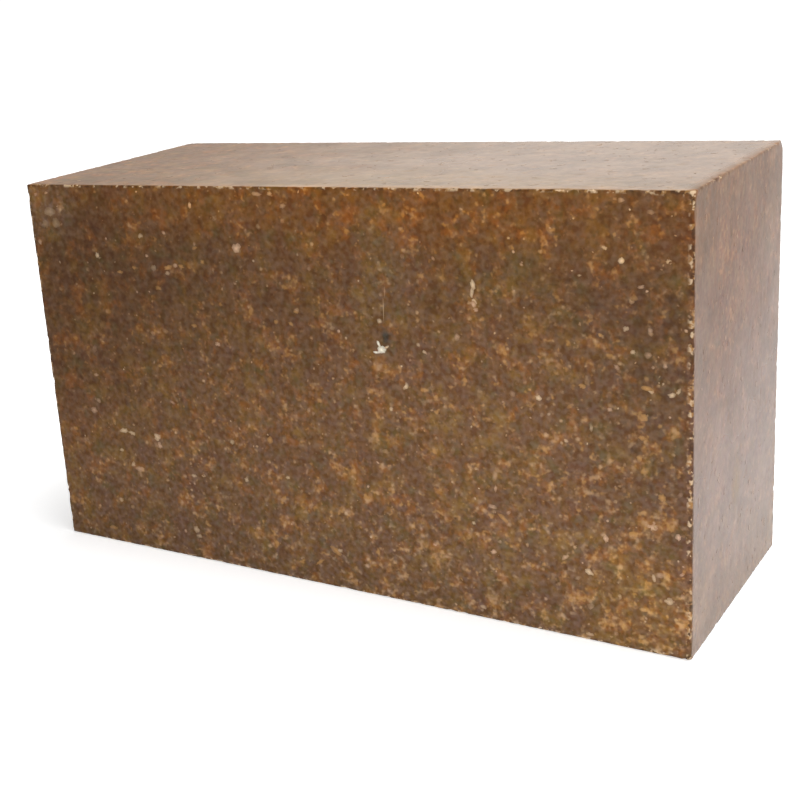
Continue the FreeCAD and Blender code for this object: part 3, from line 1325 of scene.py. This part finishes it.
    def _body(self, tree: Tree, place: Signal, side: Signal) -> Signal:
        """The colour of the grainy body: a dark ground, hues in soft patches, and light grains.

        Args:
            tree: The finish's node tree.
            place: The point, in millimetres.
            side: One on the die-formed sides.

        Returns:
            The colour.
        """
        mottle = tree.noise(place, self.mottle_span, 3.0, 0.62, seed=1.0)
        value, warm, green = tree.out(mottle, "Color").parts()
        patch = tree.noise(place, self.patch_span, 3.0, 0.62, seed=6.0)
        hue, dull, broad = tree.out(patch, "Color").parts()
        grit = tree.noise(place, self.grit_span, 0.5, 0.5, seed=2.0)
        fine, pale, dark = tree.out(grit, "Color").parts()
        fleck = tree.cloud(place, self.fleck_span, 1.0, 0.6, seed=8.0)
        colour = tree.blend(tree.ramp(value + (broad - 0.5) * 0.5, 0.33, 0.67),
                            self.dark_brown.linear(), self.mid_brown.linear())
        along, _, up = place.parts()
        rich = along * self.grain_slope[0] + (up - self.mid_height) * self.grain_slope[1]
        glow = (value - 0.5) * 0.4 + (hue - 0.5) * 0.65
        cluster = glow + rich
        small, large = self.fine_share, 1.0 - self.fine_share
        drives = (
            (self.rust_patches, warm * small + hue * large),
            (self.ochre_patches, green * small + dull * large),
            (self.olive_patches, green * small + broad * large),
            (self.plum_patches, warm * small + dull * large),
            (self.amber_patches, glow + rich * 0.4),
            (self.gold_flecks, fleck + glow * 1.3 + rich * 0.6),
            (self.pores, dark),
            (self.tan_grit, pale + cluster),
        )
        for layer, drive in drives:
            colour = layer.over(tree, colour, drive)
        grey = tree.ramp(fine, 0.36, 0.74, -0.008, 0.022)
        colour = colour + tree.combine(grey, grey, grey)
        return self._with_specks(tree, place, colour, cluster, side)

    def _with_specks(self, tree: Tree, place: Signal, colour: Signal, cluster: Signal,
                     side: Signal) -> Signal:
        """Strews small light grains over the body.

        Args:
            tree: The finish's node tree.
            place: The point, in millimetres.
            colour: The body's colour so far.
            cluster: Where the grains gather: above zero there are more of them and below it fewer.
            side: One on the die-formed sides, where the skin and the painted sheen veil the grains.

        Returns:
            The colour with the grains in it.
        """
        jag = tree.out(tree.noise(place, self.speck_jag, 1.0, seed=7.0), "Color") - 0.5
        cells = tree.cells(place + jag * self.speck_jag, self.speck_cell, seed=7.0)
        size, tone, strength = tree.out(cells, "Color").parts()
        radius = tree.ramp(size + cluster * 1.1, 0.38, 1.25, 0.02, 0.50)
        share = tree.ramp(tree.out(cells, "Distance"), 0.0, radius, 1.0, 0.0)
        pigment = tree.blend(tree.ramp(tone, 0.62, 0.66), self.tan.linear(), self.rose.linear())
        pigment = tree.blend(tree.ramp(tone, 0.84, 0.88), pigment, self.cream.linear())
        share = share * tree.ramp(strength, 0.15, 1.0, 0.14, 0.88) * (1.0 - side * 0.75)
        return tree.blend(share, colour, pigment)

    def _tinted(self, tree: Tree, place: Signal, colour: Signal, tints: Sequence[Tint]) -> Signal:
        """Shades the colour in soft patches with grainy borders; some patches are the body's own colour,
        others painted shade and light.

        Args:
            tree: The finish's node tree.
            place: The point, in millimetres.
            colour: The colour so far.
            tints: The patches, each with its gain.

        Returns:
            The shaded colour.
        """
        border = tree.out(tree.noise(place, self.tint_border_span, 3.0, 0.65, seed=41.0), "Color")
        wobble = (border - 0.5) * self.tint_border_sway
        grain = tree.cloud(place, self.tint_grain_span, 2.0, 0.6, seed=42.0)
        grainy = tree.ramp(grain, 0.36, 0.62, 0.5, 1.0)
        for tint in tints:
            far = tree.vector("LENGTH", (place - Vector(tint.middle)) / Vector(tint.reach) + wobble)
            share = tree.ramp(far, 0.15, 1.15, 1.0, 0.0) * grainy
            tone = tree.blend(share, (1.0, 1.0, 1.0, 1.0), (*tint.gain, 1.0))
            colour = tree.blend(1.0, colour, tone, mode="MULTIPLY")
        return colour

    def _with_grain_tone(self, tree: Tree, place: Signal, colour: Signal) -> Signal:
        """Gives a grain the pigment of its tone; the body itself has a cover of zero.

        Args:
            tree: The finish's node tree.
            place: The point, in millimetres.
            colour: The body's colour.

        Returns:
            The colour of the body or of the grain.
        """
        tone = tree.out(tree.node("ShaderNodeAttribute", attribute_name=GRAIN_TONE), "Fac")
        cover = tree.out(tree.node("ShaderNodeAttribute", attribute_name=GRAIN_COVER), "Fac")
        pigment = self.pore_and_painted_shade.linear()
        steps = ((0.14, 0.16, self.gold), (0.26, 0.28, self.tan), (0.44, 0.46, self.rose),
                 (0.74, 0.76, self.cream), (1.1, 1.2, self.white))
        for start, end, following in steps:
            pigment = tree.blend(tree.ramp(tone, start, end), pigment, following.linear())
        patchy = tree.ramp(tree.cloud(place, 1.1, 1.0, seed=45.0), 0.34, 0.56, 0.75, 1.0)
        return tree.blend(cover * patchy, colour, pigment)

    def _with_fresh_arrises(self, tree: Tree, place: Signal, colour: Signal, side: Signal) -> Signal:
        """Shows the fresh body where an arris has lost a crumb or a corner is worn.

        Args:
            tree: The finish's node tree.
            place: The point, in millimetres.
            colour: The colour so far.
            side: One on the die-formed sides, where the beads hardly show.

        Returns:
            The colour with pale beads along the arrises, painted shade in dark gaps between them, and
            pale breaks.
        """
        gap = tree.out(tree.node("ShaderNodeAttribute", attribute_name=ARRIS_GAP), "Fac")
        loss = tree.out(tree.node("ShaderNodeAttribute", attribute_name=LOSS), "Fac")
        near = tree.ramp(gap, 0.3, 1.5, 1.0, 0.0)
        crumb = tree.ramp(nick_bite(tree, place) * near, 0.18, 0.5)
        mixed = tree.blend(tree.ramp(tree.cloud(place, self.bead_grain_span, 1.0, seed=43.0), 0.38, 0.56),
                           self.gold.linear(), self.cream.linear())
        pale, dark, _ = tree.out(tree.noise(place, self.bead_span, 1.0, 0.5, seed=46.0), "Color").parts()
        along, _, _ = place.parts()
        reach = tree.ramp(along, *self.bead_stretch, *self.bead_reach)
        edge = tree.ramp(gap, reach * 0.3, reach, 1.0, 0.0) * (1.0 - side * 0.75)
        # Painted shade: dark gaps between the pale beads along the arrises, in the colour of the pores.
        painted_nick_shade = tree.ramp(dark, 0.36, 0.50, 1.0, 0.0) * edge * 0.7
        colour = tree.blend(painted_nick_shade, colour, self.pore_and_painted_shade.linear())
        beads = tree.ramp(pale, 0.53, 0.64) * edge * 0.85
        fresh = crumb.most(tree.ramp(loss, 0.15, 0.5)).most(beads)
        return tree.blend(fresh * 0.75, colour, mixed)

    def _skin_and_sheen(self, tree: Tree, place: Signal) -> Signal:
        """The paler colour of the die-formed sides: partly a skin of fines, partly a painted sheen.

        Args:
            tree: The finish's node tree.
            place: The point, in millimetres.

        Returns:
            The colour of the skin and the painted sheen.
        """
        patch = tree.cloud(place, self.skin_and_sheen_patch_span, 3.0, 0.62, seed=31.0)
        grain = tree.cloud(place, self.skin_and_sheen_grain_span, 2.0, 0.6, seed=32.0)
        gain = tree.ramp(patch, 0.32, 0.68, 0.82, 1.18) * tree.ramp(grain, 0.3, 0.7, 0.9, 1.1)
        return tree.blend(1.0, self.skin.linear(), tree.combine(gain, gain, gain), mode="MULTIPLY")


@dataclass(frozen=True)
class Lamp:
    """One soft round lamp: its place, its width in metres and its power in watts."""

    name: str
    place: Vector
    width: float
    watts: float


@dataclass
class Studio:
    """A plain white room: a pale floor that keeps the shadow, soft lamps and a white surround.

    The floor's own glow goes from the first value of floor_lift to the second one over lift_reach,
    two distances from the middle. The lamps face the point aim.
    """

    floor_half: float = 8.0
    floor_tone: float = 0.85
    floor_lift: tuple[float, float] = (0.50, 0.95)
    lift_reach: tuple[float, float] = (0.3, 1.8)
    world_level: float = 0.12
    aim: Vector = Vector((0.0, 0.0, 0.07))
    lamps: tuple[Lamp, ...] = (
        Lamp("overhead_lamp", Vector((0.25, 0.14, 1.3)), 1.2, 22.0),
        Lamp("right_lamp", Vector((0.9, 0.2, 0.8)), 0.8, 1.2),
        Lamp("low_front_lamp", Vector((0.05, -0.40, 0.03)), 0.25, 0.70),
        Lamp("low_corner_lamp", Vector((0.20, -0.26, 0.015)), 0.12, 0.32),
    )

    def build(self) -> bpy.types.Object:
        """Makes the floor, the surround and the lamps.

        Returns:
            The floor.
        """
        self._surround()
        for lamp in self.lamps:
            self._hang(lamp)
        return self._floor()

    def _seen_white(self, tree: Tree) -> Signal:
        """Picks the rays that show the background.

        Args:
            tree: The node tree that needs the answer.

        Returns:
            One for a ray from the camera, a mirrored one or one through glass, and zero for others.
        """
        path = tree.node("ShaderNodeLightPath")
        kinds = ("Is Camera Ray", "Is Glossy Ray", "Is Transmission Ray")
        camera, glossy, through = (tree.out(path, kind) for kind in kinds)
        return camera.most(glossy).most(through)

    def _surround(self) -> None:
        """A soft light all round that is seen as white."""
        world = bpy.data.worlds.new("white_surround")
        bpy.context.scene.world = world
        world.use_nodes = True
        world.node_tree.nodes.clear()
        tree = Tree(world.node_tree)
        level = tree.ramp(self._seen_white(tree), 0.0, 1.0, self.world_level, 1.0)
        light = tree.node("ShaderNodeBackground", {"Color": (1.0, 1.0, 1.0, 1.0), "Strength": level})
        tree.node("ShaderNodeOutputWorld", {"Surface": tree.out(light)})

    def _hang(self, lamp: Lamp) -> None:
        """Hangs a lamp so that it faces the brick.

        Args:
            lamp: The lamp.
        """
        data = bpy.data.lights.new(lamp.name, "AREA")
        data.shape = "DISK"
        data.size = lamp.width
        data.energy = lamp.watts
        made = bpy.data.objects.new(lamp.name, data)
        made.visible_camera = False
        made.visible_glossy = False
        turn = (self.aim - lamp.place).to_track_quat("-Z", "Y").to_matrix().to_4x4()
        made.matrix_world = Matrix.Translation(lamp.place) @ turn
        bpy.context.scene.collection.objects.link(made)

    def _floor(self) -> bpy.types.Object:
        """Makes a flat floor that looks white and keeps the contact shadow.

        Returns:
            The floor.
        """
        material = bpy.data.materials.new("pale_floor")
        material.use_nodes = True
        material.node_tree.nodes.clear()
        tree = Tree(material.node_tree)
        tone = (self.floor_tone, self.floor_tone, self.floor_tone, 1.0)
        matt = tree.node("ShaderNodeBsdfDiffuse", {"Color": tone})
        away = tree.vector("LENGTH", tree.out(tree.node("ShaderNodeTexCoord"), "Object"))
        level = tree.ramp(away, *self.lift_reach, *self.floor_lift)
        glow = tree.node("ShaderNodeEmission", {"Color": (1.0, 1.0, 1.0, 1.0), "Strength": level})
        lift = tree.node("ShaderNodeAddShader", {0: tree.out(matt), 1: tree.out(glow)})
        pick = tree.node("ShaderNodeMixShader",
                         {0: self._seen_white(tree), 1: tree.out(matt), 2: tree.out(lift)})
        tree.node("ShaderNodeOutputMaterial", {"Surface": tree.out(pick)})
        half = self.floor_half
        mesh = bpy.data.meshes.new("floor")
        corners = [(-half, -half, 0), (half, -half, 0), (half, half, 0), (-half, half, 0)]
        mesh.from_pydata(corners, [], [(0, 1, 2, 3)])
        mesh.materials.append(material)
        floor = bpy.data.objects.new("floor", mesh)
        bpy.context.scene.collection.objects.link(floor)
        return floor


@dataclass(frozen=True)
class PhotoCamera:
    """The camera that the photograph's corners were fitted with."""

    place: Vector = Vector((0.25302, -0.47051, 0.23796))
    tilt: float = 70.104
    roll: float = -0.002
    turn: float = 24.554
    focal_pixels: float = 1515.7
    centre_pixel: tuple[float, float] = (503.9, 427.1)
    frame_pixels: float = 800.0
    sensor: float = 36.0

    def build(self) -> bpy.types.Object:
        """Makes the camera.

        Returns:
            The camera, as the scene's own.
        """
        data = bpy.data.cameras.new("photo_camera")
        data.sensor_width = self.sensor
        data.lens = self.focal_pixels * self.sensor / self.frame_pixels
        data.shift_x = 0.5 - self.centre_pixel[0] / self.frame_pixels
        data.shift_y = self.centre_pixel[1] / self.frame_pixels - 0.5
        data.clip_start = 0.01
        camera = bpy.data.objects.new("photo_camera", data)
        turn = Euler([math.radians(angle) for angle in (self.tilt, self.roll, self.turn)])
        camera.matrix_world = Matrix.Translation(self.place) @ turn.to_matrix().to_4x4()
        bpy.context.scene.collection.objects.link(camera)
        bpy.context.scene.camera = camera
        return camera


def main() -> None:
    """Builds the brick and the studio round it."""
    logging.basicConfig(level=logging.INFO, format="%(name)s: %(message)s")
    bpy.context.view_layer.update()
    shape = KeyShape()
    fired_body = FiredFinish().make()
    body = BrickBody(shape)
    block = body.build(fired_body)
    grains = CoarseGrains()
    scatter = grains.build(block, fired_body)
    front = FrontMarks()
    marks = front.build(block, fired_body)
    body.dress(block)
    grains.dress(scatter)
    front.dress(marks)
    Studio().build()
    PhotoCamera().build()
    bpy.context.scene.view_settings.view_transform = "Standard"


if __name__ == "__main__":
    main()
